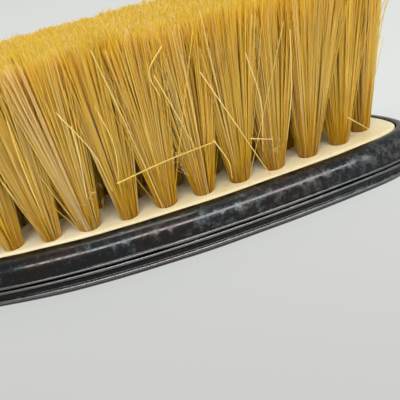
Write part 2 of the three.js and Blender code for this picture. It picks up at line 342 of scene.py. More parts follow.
def silver_material():
    """Silver gone nearly black, browner towards the handle, rubbed bright on its high lines."""
    nodes = Nodes("tarnished_silver")
    cloud = nodes.noise(11, detail=4, rough=0.55)
    patches = nodes.noise(1.3, detail=9, rough=0.78)
    grain = nodes.noise(0.3, detail=4, rough=0.7)
    split = nodes.add("ShaderNodeSeparateXYZ")
    nodes.link(nodes.where, split.inputs[0])
    along = split.outputs["X"]
    toe_x = HEAD_CENTRE.x + PLATE_HALF_LENGTH * MM
    paler_toe = nodes.spread(along, HEAD_CENTRE.x, toe_x, -0.06, 0.09)
    tarnish = nodes.ramp(nodes.maths("ADD", patches, paler_toe), [
        (0.36, (0.002, 0.002, 0.0025)),
        (0.50, (0.007, 0.008, 0.009)),
        (0.57, (0.028, 0.031, 0.033)),
        (0.66, (0.11, 0.115, 0.115)),
    ])
    bloom = nodes.ramp(cloud, [
        (0.34, (0.62, 0.74, 0.95)),
        (0.44, (0.95, 1.0, 1.0)),
        (0.51, (1.0, 0.97, 0.93)),
        (0.56, (1.0, 0.56, 0.34)),
        (0.66, (0.80, 0.58, 0.72)),
    ])
    handle_side = nodes.spread(along, HEAD_CENTRE.x, toe_x, 0.9, 0.15)
    tinted = nodes.mix(handle_side, tarnish, bloom, "MULTIPLY")
    stain = nodes.maths("MULTIPLY", nodes.spread(cloud, 0.50, 0.62, 0.0, 0.6), handle_side)
    tinted = nodes.mix(stain, tinted, (0.034, 0.012, 0.006))
    wear = nodes.attribute("wear")
    worn = nodes.spread(wear, 0.5, 1.0, 0, 0.45)
    rubbed = nodes.maths("MULTIPLY", worn, nodes.spread(grain, 0.3, 0.55, 0.7, 1.0))
    bright = nodes.mix(rubbed, tinted, (0.33, 0.33, 0.315))
    soot = nodes.spread(wear, 0.0, 0.5, 0.9, 0.0)
    nodes.drive("Base Color", nodes.mix(soot, bright, (0.004, 0.004, 0.005)))
    nodes.drive("Roughness", nodes.spread(patches, 0.35, 0.7, 0.30, 0.45))
    nodes.bump(nodes.maths("ADD", grain, patches), 0.02, 0.5)
    nodes.drive("Coat Weight", nodes.spread(patches, 0.42, 0.60, 0.60, 0.12))
    nodes.drive("Coat Roughness", nodes.spread(patches, 0.40, 0.62, 0.06, 0.22))
    nodes.set(Metallic=1.0, Coat_IOR=1.55)
    return nodes.material


def ivory_material():
    """Celluloid in imitation of ivory, a little yellowed, with faint brown stains."""
    nodes = Nodes("ivory_celluloid")
    cloud = nodes.noise(12, detail=4)
    grain = nodes.noise(1.1, detail=5, rough=0.6, stretch=(0.35, 1.6, 1))
    base = nodes.ramp(cloud, [
        (0.3, (0.76, 0.665, 0.395)),
        (0.55, (0.81, 0.735, 0.485)),
        (0.75, (0.84, 0.78, 0.56)),
    ])
    stain = nodes.noise(3.2, detail=6, rough=0.7)
    speck = nodes.spread(grain, 0.35, 0.65, 0.0, 0.2)
    aged = nodes.mix(speck, base, (0.70, 0.55, 0.28))
    stained = nodes.spread(stain, 0.52, 0.72, 0.0, 0.55)
    nodes.drive("Base Color", nodes.mix(stained, aged, (0.58, 0.38, 0.17)))
    nodes.drive("Roughness", nodes.spread(grain, 0.3, 0.7, 0.26, 0.42))
    nodes.bump(grain, 0.02, 0.35)
    nodes.set(Subsurface_Weight=0.15, Subsurface_Scale=0.002, IOR=1.5)
    return nodes.material


def bristle_material():
    """Blond boar bristle, golden, each strand a little different; the deeper amber at the foot is
    painted shade low in the tufts.
    """
    nodes = Nodes("boar_bristle")
    split = nodes.add("ShaderNodeSeparateXYZ")
    nodes.link(nodes.where, split.inputs[0])
    height = nodes.spread(split.outputs["Z"], HEAD_CENTRE.z, HEAD_CENTRE.z + BRISTLE_LENGTH * MM, 0, 1)
    # Colour up the strand: the darker amber towards the foot is painted shade where the tufts shade
    # their own feet.
    along = nodes.ramp(height, [
        (0.0, (0.55, 0.19, 0.004)),
        (0.14, (0.80, 0.37, 0.015)),
        (0.40, (0.95, 0.585, 0.100)),
        (0.78, (0.95, 0.57, 0.075)),
        (1.0, (0.92, 0.50, 0.020)),
    ])
    tint = nodes.attribute("tint")
    pale = nodes.spread(tint, 0.64, 0.95, 0.0, 0.75)
    amber = nodes.spread(tint, 0.0, 0.3, 0.36, 0.0)
    mixed = nodes.mix(pale, along, (0.98, 0.74, 0.33))
    mixed = nodes.mix(amber, mixed, (0.70, 0.36, 0.03))
    # Painted shade: strands of lower tint get darker ends, dark specks standing in for the shaded gaps
    # between tips on top.
    near_tip = nodes.spread(height, 0.93, 0.99, 0, 1)
    tip_gap_shade = nodes.maths("MULTIPLY", near_tip, nodes.spread(tint, 0.4, 0.5, 0.5, 0))
    mixed = nodes.mix(tip_gap_shade, mixed, (0.40, 0.19, 0.015))
    streak = nodes.noise(0.35, detail=2, stretch=(1, 1, 0.08))
    streaked = nodes.spread(streak, 0.35, 0.65, 0.2, 0.0)
    nodes.drive("Base Color", nodes.mix(streaked, mixed, (0.72, 0.42, 0.06)))
    nodes.drive("Roughness", nodes.spread(streak, 0.3, 0.7, 0.32, 0.5))
    nodes.set(IOR=1.45, Specular_IOR_Level=0.3, Subsurface_Weight=0.7, Subsurface_Scale=0.001)
    nodes.shader.inputs["Subsurface Radius"].default_value = (1.0, 0.6, 0.2)
    return nodes.material


def wood_material():
    nodes = Nodes("beech")
    ring = nodes.noise(3, detail=4, stretch=(0.12, 1, 1))
    nodes.drive("Base Color", nodes.ramp(ring, [(0.3, (0.36, 0.21, 0.10)), (0.7, (0.56, 0.38, 0.20))]))
    nodes.drive("Roughness", nodes.spread(ring, 0.3, 0.7, 0.75, 0.55))
    nodes.bump(ring, 0.05, 0.4)
    return nodes.material


def cement_material():
    nodes = Nodes("rosin_cement")
    lumps = nodes.noise(2.0, detail=6, rough=0.7)
    dark = (0.030, 0.020, 0.014)
    nodes.drive("Base Color", nodes.ramp(lumps, [(0.3, dark), (0.7, (0.09, 0.06, 0.04))]))
    nodes.drive("Roughness", nodes.spread(lumps, 0.3, 0.7, 0.5, 0.85))
    nodes.bump(lumps, 0.15, 0.6)
    return nodes.material


def brass_material():
    nodes = Nodes("drawn_brass")
    lines = nodes.noise(0.4, detail=4, stretch=(0.2, 1, 1))
    nodes.drive("Base Color", nodes.ramp(lines, [(0.3, (0.42, 0.27, 0.09)), (0.7, (0.68, 0.48, 0.20))]))
    nodes.drive("Roughness", nodes.spread(lines, 0.3, 0.7, 0.45, 0.3))
    nodes.bump(lines, 0.02, 0.3)
    nodes.set(Metallic=1.0)
    return nodes.material


# ---- Silver ------------------------------------------------------------------------------------

LIP = 0.22
LIP_DEPTH = 0.12
SHEET = 0.6
FINE_STEPS = 2000
FRONT_STEPS = 12
BACK_STEPS = 14
BACK_CROWDING = 1.3
BACK_FULL_AT = 0.62
CROWN_EASE = 8
SHOULDER_DROP = 0.05
HEAD_GAP = 0.05
BACK_TOE_MARGIN = TOE_MARGIN - 4
BACK_END_MARGIN = END_MARGIN - 3
PLAIN_WEAR = 0.5
BACK_WEAR = 0.55
UNDERSIDE_WEAR = 0.3
INSIDE_WEAR = 0.2
LIP_WEAR = 0.1

# Sections: distance outside the guide line, depth below the plate, and wear: 0 is sooty, 1 is rubbed.
BAND = [
    (2.76, 3.50, 0.1),
    (2.93, 3.46, 0.8),
    (3.05, 3.37, 1.0),
    (3.09, 3.25, 1.0),
    (3.04, 3.13, 0.9),
    (2.92, 3.05, 0.5),
    (2.83, 3.00, 0.3),
    (2.84, 2.75, 0.5),
    (2.81, 2.40, 0.5),
    (2.72, 1.95, 0.5),
    (2.56, 1.50, 0.5),
    (2.32, 1.08, 0.5),
    (2.02, 0.72, 0.52),
    (1.68, 0.43, 0.55),
    (1.32, 0.21, 0.6),
    (0.95, 0.07, 0.62),
    (0.62, 0.02, 0.58),
    (0.36, 0.05, 0.5),
]
BAND_UNDERSIDE = [(1.5, 1.3), (2.4, 3.3)]
REEDS = [
    (-2.6, 8.45, 0.5),
    (-1.2, 8.0, 0.5),
    (0.2, 7.45, 0.5),
    (1.1, 7.0, 0.5),
    (1.55, 6.75, 0.5),
    (1.80, 6.56, 0.6),
    (1.88, 6.40, 0.7),
    (1.82, 6.27, 0.3),
    (1.90, 6.17, 0.05),
    (2.14, 6.08, 0.8),
    (2.32, 5.95, 1.0),
    (2.38, 5.78, 1.0),
    (2.32, 5.62, 0.9),
    (2.14, 5.51, 0.4),
    (2.02, 5.38, 0.1),
    (1.98, 5.15, 0.2),
    (2.04, 4.86, 0.35),
    (2.20, 4.60, 0.4),
    (2.44, 4.40, 0.3),
    (2.66, 4.28, 0.2),
    (2.86, 4.22, 0.6),
    (3.02, 4.11, 1.0),
    (3.09, 3.96, 1.0),
    (3.04, 3.81, 0.9),
    (2.88, 3.70, 0.4),
    (2.66, 3.64, 0.0),
]
BACK_LINING = [(2.4, 3.66), (0.8, 5.9), (-1.2, 7.2)]


def drawn_in(loop, part, toe_margin, end_margin):
    """The loop drawn in towards the centre line: 0 leaves it alone, and 1 lays it on the line."""
    line = np.stack([
        np.clip(loop[:, 0], loop[:, 0].min() + end_margin, loop[:, 0].max() - toe_margin),
        np.zeros(len(loop)),
    ], axis=-1)
    return loop * (1 - part) + line * part


def inner_targets():
    """For each guide point, where the front's surface ends: the plate's opening, or the centre line."""
    half = HEAD_STEPS + NECK_STEPS + FLANK_STEPS + END_STEPS
    neck_turns = np.linspace(NECK_TURN, math.pi, NECK_STEPS + 1)[1:]
    turns = np.concatenate([np.linspace(0, NECK_TURN, HEAD_STEPS + 1), neck_turns])
    fine = np.linspace(0, 2 * math.pi, FINE_STEPS + 1)[:-1]
    edge = plate_edge(fine)
    opening = edge + outward(edge) * LIP
    at = turns / (2 * math.pi) * len(fine)
    low = np.floor(at).astype(int)
    share = (at - low)[:, None]
    rim = opening[low] * (1 - share) + opening[(low + 1) % len(fine)] * share
    rim[-1, 1] = 0
    guide = GUIDE[len(rim):half + 1]
    last = rim[-1, 0]
    end = HANDLE_EDGE_X + END_MARGIN
    first_x = GUIDE[len(rim) - 1, 0]
    part = (first_x - guide[:, 0]) / (first_x - GUIDE[half, 0])
    line = np.stack([last + (end - last) * part, np.zeros(len(guide))], axis=-1)
    return close_loop(np.concatenate([rim, line]))


def crown_height(loop, inset):
    """Height of the front above the plate's level; inset runs from 0 at the shoulder to 1 inside."""
    rise = GRIP_CROWN * (1 - smoothstep(loop[:, 0], NECK_X - CROWN_EASE, -PLATE_HALF_LENGTH))
    return rise * math.sin(inset * math.pi / 2) - SHOULDER_DROP * (1 - inset)


def front_mesh():
    """The band, the top of the handle inside it, and the front's underside."""
    targets = inner_targets()
    shoulder = offset_guide(LIP)
    is_head = np.linalg.norm(targets - shoulder, axis=1) < HEAD_GAP
    levels = [level(offset_guide(reach), -depth) for reach, depth, _ in BAND]
    wear = [value for _, _, value in BAND]
    for step in range(1, FRONT_STEPS + 1):
        inset = step / FRONT_STEPS
        loop = shoulder * (1 - inset) + targets * inset
        loop[is_head] = targets[is_head]
        height = crown_height(loop, inset)
        height[is_head] = -LIP_DEPTH
        levels.append(level(loop, height))
        wear.append(PLAIN_WEAR)
    top = levels[-1]
    lip = top.copy()
    lip[:, 2] -= SHEET
    levels.append(lip)
    wear.append(LIP_WEAR)
    for reach, depth in BAND_UNDERSIDE:
        levels.append(level(offset_guide(reach), -depth))
        wear.append(UNDERSIDE_WEAR)
    return mesh_through_levels("silver_front", levels, wear, is_tube=True)


def back_height(part):
    """Height of the back on its way from the reeds, at 0, to the centre line, at 1."""
    start = REEDS[0][1]
    return -(start + (BACK_DEPTH - start) * math.sin(min(part / BACK_FULL_AT, 1.0) * math.pi / 2))


def back_level(base, step, lift=0.0):
    """One loop of the back, drawn in from the reeds by a step out of BACK_STEPS."""
    part = (step / BACK_STEPS) ** BACK_CROWDING
    loop = drawn_in(base, part, BACK_TOE_MARGIN, BACK_END_MARGIN)
    return level(loop, back_height(part) + lift)


def back_mesh():
    """The back from its middle out to the reeds, and its inside from there to the middle again."""
    base = offset_guide(REEDS[0][0])
    levels = []
    wear = []
    for step in range(BACK_STEPS, 0, -1):
        levels.append(back_level(base, step))
        wear.append(BACK_WEAR)
    for reach, depth, value in REEDS:
        levels.append(level(offset_guide(reach), -depth))
        wear.append(value)
    for reach, depth in BACK_LINING:
        levels.append(level(offset_guide(reach), -depth))
        wear.append(INSIDE_WEAR)
    for step in range(2, BACK_STEPS + 1, 2):
        levels.append(back_level(base, step, SHEET))
        wear.append(INSIDE_WEAR)
    return mesh_through_levels("silver_back", levels, wear)


# ---- Tuft seats --------------------------------------------------------------------------------

RUN_STEPS = 8000


def leaned(points, height):
    """Points of the face carried up along the lean of the bristles. Heights in millimetres."""
    rise = np.maximum(height, 0)
    share = np.abs(points[:, 0] / PLATE_HALF_LENGTH) ** SPLAY_POWER
    x = points[:, 0] + rise * END_SPLAY * np.sign(points[:, 0]) * share
    y = points[:, 1] + rise * SIDE_SPLAY * points[:, 1] / PLATE_HALF_WIDTH
    return np.stack([x, y, np.broadcast_to(height, x.shape)], axis=-1)


def ring_sizes(k):
    low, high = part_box(f"drawing_wire_{k + 1}")
    half_length = (high.x - low.x) / 2 / MM - WIRE_THICKNESS / 2
    half_width = (high.y - low.y) / 2 / MM - WIRE_THICKNESS / 2
    return np.array([half_length, half_width, RINGS[k]["taper"]])


def spaced_turns(sizes, shares):
    """Turns at which shares of the ring's length, from the toe, have been passed."""
    turns = np.linspace(-math.pi, 3 * math.pi, RUN_STEPS + 1)
    line = almond(*sizes, turns)
    run = np.concatenate([[0], np.cumsum(np.linalg.norm(np.diff(line, axis=0), axis=1))])
    start = np.interp(0, turns, run)
    full = np.interp(2 * math.pi, turns, run) - start
    return np.interp(start + np.asarray(shares) * full, run, turns)


def ring_seats(k):
    """Centres of a ring's tufts, and the four corners of the field that each one's bristles fill."""
    sizes = ring_sizes(k)
    if k == 0:
        outer = sizes + [OUTER_FLARE, OUTER_FLARE, 0]
    else:
        outer = (sizes + ring_sizes(k - 1)) / 2
    if k + 1 < len(RINGS):
        within = ring_sizes(k + 1)
    else:
        within = np.array([MIDDLE_ROW["half_length"], 0, 0])
    inner = (sizes + within) / 2
    count = RINGS[k]["tufts"]
    at = spaced_turns(sizes, np.arange(count) / count)
    before = spaced_turns(sizes, (np.arange(count) - 0.5) / count)
    after = spaced_turns(sizes, (np.arange(count) + 0.5) / count)
    corners = [(inner, before), (outer, before), (outer, after), (inner, after)]
    fields = np.stack([almond(*oval, turns) for oval, turns in corners], axis=1)
    return almond(*sizes, at), fields


def middle_seats():
    """The same for the straight row in the middle."""
    count = MIDDLE_ROW["tufts"]
    reach = MIDDLE_ROW["half_length"]
    pitch = 2 * reach / (count - 1)
    half_field = ring_sizes(len(RINGS) - 1)[1] / 2
    x = reach - pitch * np.arange(count)
    centres = np.stack([x, np.zeros(count)], axis=-1)
    steps = np.array([[1, -1], [1, 1], [-1, 1], [-1, -1]]) * [pitch / 2, half_field]
    return centres, centres[:, None, :] + steps[None]


SEATS = [ring_seats(k) for k in range(len(RINGS))] + [middle_seats()]

# ---- Face plate --------------------------------------------------------------------------------

HOLE_RADIUS = 1.24
HOLE_SIDES = 20
COUNTERSINK = 0.14
PLATE_STEPS = 360
# Reach outside the plate's edge and height above its face.
PLATE_SECTION = [(-0.05, -PLATE_THICKNESS), (-0.02, -0.3), (-0.08, -0.12), (-0.25, -0.02), (-0.6, 0.0)]
BORE_SECTION = [
    (HOLE_RADIUS, -2 * PLATE_THICKNESS),
    (HOLE_RADIUS, -0.12),
    (HOLE_RADIUS + COUNTERSINK, 0.02),
    (HOLE_RADIUS + COUNTERSINK, 1.0),
]


def plate_mesh():
    """The plate with its softened edge, before it is bored."""
    turn = np.linspace(0, 2 * math.pi, PLATE_STEPS + 1)[:-1]
    edge = plate_edge(turn)
    out = outward(edge)
    points = np.concatenate([level(edge + out * reach, height) for reach, height in PLATE_SECTION])
    index = np.arange(PLATE_STEPS)
    top = len(PLATE_SECTION) - 1
    faces = []
    for low in range(top):
        faces.extend(quads_between(low, low + 1, PLATE_STEPS).tolist())
    faces.append((top * PLATE_STEPS + index).tolist())
    faces.append(index[::-1].tolist())
    mesh = bpy.data.meshes.new("plate_blank")
    mesh.from_pydata(place(points).tolist(), [], faces)
    return mesh


def bores_mesh():
    """What the drill takes out of the plate at every tuft."""
    points = []
    faces = []
    turn = np.arange(HOLE_SIDES) / HOLE_SIDES * 2 * math.pi
    circle = np.stack([np.cos(turn), np.sin(turn)], axis=-1)
    index = np.arange(HOLE_SIDES)
    top = len(BORE_SECTION) - 1
    for centre in np.concatenate([centres for centres, _ in SEATS]):
        base = len(points)
        for radius, height in BORE_SECTION:
            points.extend([(*(centre + c * radius), height) for c in circle])
        for low in range(top):
            faces.extend((base + quads_between(low, low + 1, HOLE_SIDES)).tolist())
        faces.append((base + index[::-1]).tolist())
        faces.append((base + top * HOLE_SIDES + index).tolist())
    mesh = bpy.data.meshes.new("bores")
    mesh.from_pydata(place(points).tolist(), [], faces)
    return mesh


def bored_plate():
    """The plate with its holes, cut by a boolean."""
    blank = bpy.data.objects.new("plate_blank", plate_mesh())
    bores = bpy.data.objects.new("bores", bores_mesh())
    for made in (blank, bores):
        bpy.context.scene.collection.objects.link(made)
    cut = blank.modifiers.new("cut", "BOOLEAN")
    cut.operation = "DIFFERENCE"
    cut.solver = "EXACT"
    cut.object = bores
    graph = bpy.context.evaluated_depsgraph_get()
    mesh = bpy.data.meshes.new_from_object(blank.evaluated_get(graph), depsgraph=graph)
    mesh.name = "ivory_plate"
    for made in (blank, bores):
        old = made.data
        bpy.data.objects.remove(made)
        bpy.data.meshes.remove(old)
    return mesh


# ---- Bristles ----------------------------------------------------------------------------------

# Stations are shares of a strand's length. Lengths and distances are in millimetres.
STATIONS = np.array([0.0, 0.3, 0.65, 1.0])
TUFT_RADIUS = 1.2
ROOT_DEPTH = 1.0
STRAND_RADIUS = 0.068
TIP_SHARE = 0.8
FLYAWAY_SHARE = 0.03
WORN_DROP = 1.6
TOE_FLARE = 1.5
TOE_FLARE_FROM = 40
WORN_TO_X = 35
WORN_FROM_X = -45
LOCKS = 14
LOCK_PULL = 0.28
SPREAD_ALONG = 1.8
SPREAD_ACROSS = 1.4
EDGE_SOFT = 0.8
EDGE_SHARE = 0.3
TUFT_LEAN = 0.3
LOOSE_REACH = 2.4
SHORT_SHARE = 0.10
LONG_SHARE = 0.05
SIDES = 3


def trimmed_length(flat):
    """Length of the bristles over each point: use has worn the far side of the handle's end lower."""
    heel = 1 - smoothstep(flat[:, 0], WORN_FROM_X, WORN_TO_X)
    return BRISTLE_LENGTH - heel * WORN_DROP * (flat[:, 1] / PLATE_HALF_WIDTH)


def strand_mesh(name, feet, tops, bows, radii, tints):
    """One mesh of thin tapered strands from feet to tops, all (n, 3), each bowed sideways by bows."""
    count = len(feet)
    along = tops - feet
    axis = along / np.linalg.norm(along, axis=1)[:, None]
    side = np.cross(axis, [0.3, 1.0, 0.1])
    side /= np.linalg.norm(side, axis=1)[:, None]
    other = np.cross(axis, side)
    rings = []
    for s in STATIONS:
        centre = feet + along * s + math.sin(math.pi * s) * bows
        radius = radii * (1 + (TIP_SHARE - 1) * s)
        for i in range(SIDES):
            angle = 2 * math.pi * i / SIDES
            rings.append(centre + (side * math.cos(angle) + other * math.sin(angle)) * radius[:, None])
    points = np.stack(rings, axis=1)
    per_strand = points.shape[1]
    quads = np.concatenate([quads_between(i, i + 1, SIDES) for i in range(len(STATIONS) - 1)])
    rim = np.arange(SIDES)
    ends = np.stack([per_strand - SIDES + rim, rim[::-1]])
    start = (np.arange(count) * per_strand)[:, None]
    loops = np.concatenate([
        (start + quads.reshape(-1)[None]).reshape(-1),
        (start + ends.reshape(-1)[None]).reshape(-1),
    ])
    corners = np.concatenate([np.full(count * len(quads), 4), np.full(count * len(ends), SIDES)])
    starts = np.concatenate([[0], np.cumsum(corners)[:-1]])
    mesh = bpy.data.meshes.new(name)
    mesh.vertices.add(count * per_strand)
    mesh.vertices.foreach_set("co", place(points.reshape(-1, 3)).astype(np.float32).reshape(-1))
    mesh.loops.add(len(loops))
    mesh.loops.foreach_set("vertex_index", loops.astype(np.int32))
    mesh.polygons.add(len(corners))
    mesh.polygons.foreach_set("loop_start", starts.astype(np.int32))
    mesh.update(calc_edges=True)
    set_values(mesh, "tint", np.repeat(tints, per_strand))
    finish_mesh(mesh, HAIR_SHARP)
    return mesh


def tuft_strands(dice, centre, field, count, is_outer):
    """Feet, tops, bows, radii and tints of one tuft's strands."""
    turn = dice.uniform(0, 2 * math.pi, count)
    away = np.sqrt(dice.uniform(0, 1, count))
    disc = np.stack([np.cos(turn) * away, np.sin(turn) * away], axis=-1)
    tuft_lean = dice.normal(0, TUFT_LEAN, 2)
    along = field[3] + field[2] - field[0] - field[1]
    along /= np.linalg.norm(along)
    across = np.array([along[1], -along[0]])
    feet_flat = centre + (disc @ np.array([along, across])) * TUFT_RADIUS
    locks = dice.uniform(-0.9, 0.9, (LOCKS, 2))
    lock = np.linalg.norm(disc[:, None] - locks[None], axis=2).argmin(axis=1)
    gathered = disc * (1 - LOCK_PULL) + locks[lock] * LOCK_PULL
    u = gathered[:, 0] * SPREAD_ALONG + dice.normal(0, 0.15, count)
    v = gathered[:, 1] * SPREAD_ACROSS + dice.normal(0, 0.13, count)
    if is_outer:
        v = np.where(v > EDGE_SOFT, EDGE_SOFT + (v - EDGE_SOFT) * EDGE_SHARE, v)
    u = (u[:, None] + 1) / 2
    v = (v[:, None] + 1) / 2
    low = field[0] * (1 - u) + field[3] * u
    high = field[1] * (1 - u) + field[2] * u
    tops_flat = low * (1 - v) + high * v + tuft_lean
    if is_outer:
        tops_flat[:, 0] += TOE_FLARE * smoothstep(tops_flat[:, 0], TOE_FLARE_FROM, PLATE_HALF_LENGTH)
    is_loose = dice.uniform(0, 1, count) < FLYAWAY_SHARE
    tops_flat += dice.normal(0, LOOSE_REACH, (count, 2)) * is_loose[:, None]
    short = np.where(dice.uniform(0, 1, count) < SHORT_SHARE, dice.uniform(0.80, 0.97, count), 1.0)
    length = trimmed_length(tops_flat) * short - np.abs(dice.normal(0, 0.6, count))
    length += np.where(dice.uniform(0, 1, count) < LONG_SHARE, dice.uniform(0, 0.7, count), 0)
    length += dice.normal(-0.2, 0.4, LOCKS)[lock]
    feet = np.concatenate([feet_flat, np.full((count, 1), -ROOT_DEPTH)], axis=1)
    tops = leaned(tops_flat, length)
    bows = np.concatenate([dice.normal(0, 0.14, (count, 2)), np.zeros((count, 1))], axis=1)
    radii = STRAND_RADIUS * dice.uniform(0.75, 1.2, count)
    tints = dice.normal(0.5, 0.21, count) + dice.normal(0, 0.1, LOCKS)[lock] + 0.1 * is_loose
    return feet, tops, bows, radii, np.clip(tints, 0, 1)


def bristle_piece(name, node, seats, strands, seed, is_outer, material):
    """The strands of the tufts that stand on seats, in place of the node or of a part of it."""
    dice = np.random.default_rng(seed)
    parts = [tuft_strands(dice, centre, field, strands, is_outer) for centre, field in zip(*seats)]
    mesh = strand_mesh(name, *[np.concatenate(column) for column in zip(*parts)])
    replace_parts(make_object(name, mesh, material), node)


# ---- Build -------------------------------------------------------------------------------------

RING_SEED = 11
MIDDLE_SEED = 29
STRAY_SEED = 53
FRONT_DENTS = (0.12, 7)
BACK_DENTS = (0.08, 8)


def dent(mesh, depth, size):
    """Slight waves that long use has left in sheet silver. Depth and size in millimetres."""
    normals = [vertex.normal.copy() for vertex in mesh.vertices]
    for vertex, normal in zip(mesh.vertices, normals):
        vertex.co += normal * noise.noise(vertex.co / (size * MM)) * depth * MM


def build_silver():
    """The silver front and back, each in place of its CAD node."""
    material = silver_material()
    front = front_mesh()
    dent(front, *FRONT_DENTS)
    finish_mesh(front, SILVER_SHARP)
    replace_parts(make_object("silver_front", front, material), "front_frame")
    back = back_mesh()
    dent(back, *BACK_DENTS)
    finish_mesh(back, SILVER_SHARP)
    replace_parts(make_object("silver_back", back, material), "back_shell")


def build_plate():
    """The bored plate in place of its CAD node."""
    mesh = bored_plate()
    finish_mesh(mesh, PLATE_SHARP)
    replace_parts(make_object("ivory_plate", mesh, ivory_material()), "face_plate")


def build_bristles():
    """Rings are cut into halves on each side of the centre line, so that no piece is too large."""
    material = bristle_material()
    for k, ring in enumerate(RINGS):
        centres, fields = SEATS[k]
        half = len(centres) // 2
        node = f"bristle_ring_{k + 1}"
        for side, chosen in (("left", slice(0, half)), ("right", slice(half, None))):
            name = f"tufts_ring_{k + 1}_{side}"
            seats = (centres[chosen], fields[chosen])
            seed = RING_SEED + 2 * k + (side == "right")
            bristle_piece(name, node, seats, ring["strands"], seed, k == 0, material)
    name = "tufts_middle_row"
    strands = MIDDLE_ROW["strands"]
    bristle_piece(name, "bristle_middle_row", SEATS[-1], strands, MIDDLE_SEED, False, material)
    build_strays(material)


# Routes of single loose hairs. The last four are invented, and the fifth was placed. The other
# thirteen aren't chosen by hand: a scratch program worked them out from places read off the photo, and
# they were then moved by about half a millimetre.
STRAYS = [
    [(34.5, -25.5, 6.0), (40.0, -22.5, 7.0), (46.0, -18.5, 7.5)],
    [(46.0, -18.5, 16.5), (48.5, -16.5, 8.5), (51.0, -14.5, 0.4)],
    [(61.0, -5.5, 4.0), (63.5, -3.0, 1.0)],
    [(49.5, -15.0, 6.0), (52.0, -13.5, 5.0)],
    [(63.0, -0.5, 3.0), (65.0, -0.5, 8.0), (66.5, -0.5, 13.0)],
    [(31.0, -27.5, 16.5), (33.0, -26.0, 10.5), (33.5, -25.5, 5.0)],
    [(35.0, -25.5, 16.0), (35.5, -25.0, 11.0), (34.5, -25.0, 5.5)],
    [(43.0, -20.5, 20.5), (41.0, -21.5, 18.0), (41.5, -21.5, 15.0)],
    [(41.5, -21.5, 17.5), (42.5, -20.5, 12.5), (43.5, -19.5, 7.0)],
    [(32.0, -27.0, 14.5), (31.5, -27.0, 10.0), (30.5, -27.0, 5.0)],
    [(51.0, -15.0, 17.0), (51.5, -14.0, 10.5), (50.5, -14.0, 3.5)],
    [(56.0, -11.0, 18.0), (55.0, -11.0, 10.5), (53.5, -12.0, 4.0)],
    [(45.5, -18.0, 7.5), (46.5, -17.0, 4.0), (46.5, -17.0, 1.5)],
    [(26.0, -30.0, 17.0), (25.5, -30.0, 10.5), (25.0, -29.5, 4.0)],
    [(-20.0, 31.0, 19.0), (-12.0, 31.5, 16.5), (-3.0, 32.5, 14.0)],
    [(18.0, 29.5, 4.0), (22.0, 28.0, 9.0), (24.0, 27.5, 15.0)],
    [(-45.0, 14.0, 6.0), (-50.0, 10.5, 8.0), (-54.0, 6.0, 13.0)],
    [(-30.0, -30.0, 18.0), (-24.0, -31.0, 12.0), (-21.0, -31.5, 3.0)],
]
STRAY_RADIUS = 0.085
STRAY_SIDES = 5
# Places where fluff is caught between the feet. The first two come from the same scratch program.
FUZZ = [
    (41.0, -20.0, 5.5),
    (31.0, -26.5, 4.5),
    (52.0, -12.0, 4.0),
    (17.0, -28.5, 3.5),
    (-12.0, 29.5, 4.0),
]
FUZZ_RADIUS = 0.022
FUZZ_CURLS = 8
FUZZ_POINTS = 6
FUZZ_STEP = 0.6
FUZZ_FLOOR = 0.1
HAIR_TAPER = 0.35


def smooth_path(points, steps):
    """Points of a curve through a few points, by a spline through all of them."""
    points = np.array(points, float)
    padded = np.concatenate([[2 * points[0] - points[1]], points, [2 * points[-1] - points[-2]]])
    path = [points[:1]]
    for a, b, c, d in zip(padded, padded[1:], padded[2:], padded[3:]):
        t = (np.arange(steps) + 1)[:, None] / steps
        bend = 2 * a - 5 * b + 4 * c - d
        twist = 3 * b - a - 3 * c + d
        path.append((2 * b + (c - a) * t + bend * t**2 + twist * t**3) / 2)
    return np.concatenate(path)


def hair_tube(path, radius, sides, base):
    """Points and faces of a closed thin tube along a path."""
    ahead = np.gradient(path, axis=0)
    ahead /= np.linalg.norm(ahead, axis=1)[:, None]
    side = np.cross(ahead, [0.31, 0.52, 0.79])
    side /= np.linalg.norm(side, axis=1)[:, None]
    other = np.cross(ahead, side)
    count = len(path)
    points = []
    for i in range(count):
        thin = radius * (1 - HAIR_TAPER * i / (count - 1))
        for k in range(sides):
            angle = 2 * math.pi * k / sides
            points.append(path[i] + (side[i] * math.cos(angle) + other[i] * math.sin(angle)) * thin)
    faces = [tuple(base + k for k in reversed(range(sides)))]
    for i in range(count - 1):
        faces.extend((base + quads_between(i, i + 1, sides)).tolist())
    faces.append(tuple(base + (count - 1) * sides + k for k in range(sides)))
    return points, faces


def build_strays(material):
    """Loose hairs that lie across the tufts, and curls of fluff caught between their feet."""
    dice = np.random.default_rng(STRAY_SEED)
    paths = [(smooth_path(route, 7), STRAY_RADIUS) for route in STRAYS]
    for centre in FUZZ:
        for _ in range(FUZZ_CURLS):
            walk = np.cumsum(dice.normal(0, FUZZ_STEP, (FUZZ_POINTS, 3)), axis=0) + centre
            walk[:, 2] = np.clip(walk[:, 2], FUZZ_FLOOR, None)
            paths.append((smooth_path(walk, 4), FUZZ_RADIUS))
    points = []
    faces = []
    tints = []
    for path, radius in paths:
        tube, rims = hair_tube(path, radius, STRAY_SIDES, len(points))
        points.extend(tube)
        faces.extend(rims)
        tints.extend([dice.uniform(0.75, 1.0)] * len(tube))
    mesh = bpy.data.meshes.new("stray_bristles")
    mesh.from_pydata(place(points).tolist(), [], faces)
    set_values(mesh, "tint", tints)
    finish_mesh(mesh, HAIR_SHARP)
    make_object("stray_bristles", mesh, material)


def dress_cad_nodes():
    """Materials for the CAD nodes that no piece replaces."""
    hidden = {"brush_stock": wood_material(), "head_cement": cement_material()}
    hidden["handle_filler"] = hidden["head_cement"]
    brass = brass_material()
    for k in range(len(RINGS)):
        hidden[f"drawing_wire_{k + 1}"] = brass
    hidden["drawing_wire_middle"] = brass
    for node, material in hidden.items():
        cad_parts[node].data.materials.clear()
        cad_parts[node].data.materials.append(material)


# ---- Studio ------------------------------------------------------------------------------------

